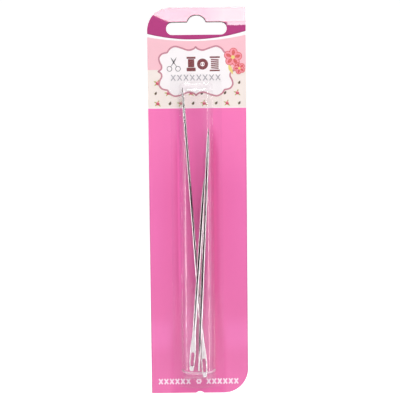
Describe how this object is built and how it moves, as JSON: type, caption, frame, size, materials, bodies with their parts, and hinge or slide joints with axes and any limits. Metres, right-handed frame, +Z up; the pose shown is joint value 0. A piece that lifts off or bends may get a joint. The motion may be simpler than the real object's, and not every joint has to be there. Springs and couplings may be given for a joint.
{
  "type": "carded bodkin pack",
  "caption": "Tall hang-slot card with a clear blister holding loose, large-eyed steel bodkins of three lengths for threading cord, ribbon and elastic.",
  "frame": {"origin": "where the shop's peg bears: the top of the hanging slot's hump, halfway through the board", "axes": "+X to the right as the pack's printed face is read, +Y to the back, +Z up along the card"},
  "size_m": [0.0508, 0.011, 0.2018],
  "materials": {
    "printed_board": "coated board printed on the face, bare grey-white on the edges and back",
    "clear_film": "clear, glossy, thermoformed film",
    "nickelled_steel": "polished nickel on steel"
  },
  "bodies": {
    "pack": {"backing_card": "printed_board", "blister": "clear_film"},
    "long": {"long_bodkin": "nickelled_steel"},
    "left": {"left_bodkin": "nickelled_steel"},
    "middle": {"middle_bodkin": "nickelled_steel"}
  },
  "joints": [
    {"name": "long_slide", "type": "slide", "parent": "pack", "child": "long", "axis": [0, 0, 1], "range_m": [0, 0.0007]},
    {"name": "left_slide", "type": "slide", "parent": "pack", "child": "left", "axis": [0, 0, 1], "range_m": [-0.0019, 0.044]},
    {"name": "middle_slide", "type": "slide", "parent": "pack", "child": "middle", "axis": [0, 0, 1], "range_m": [-0.0016, 0.012]}
  ]
}
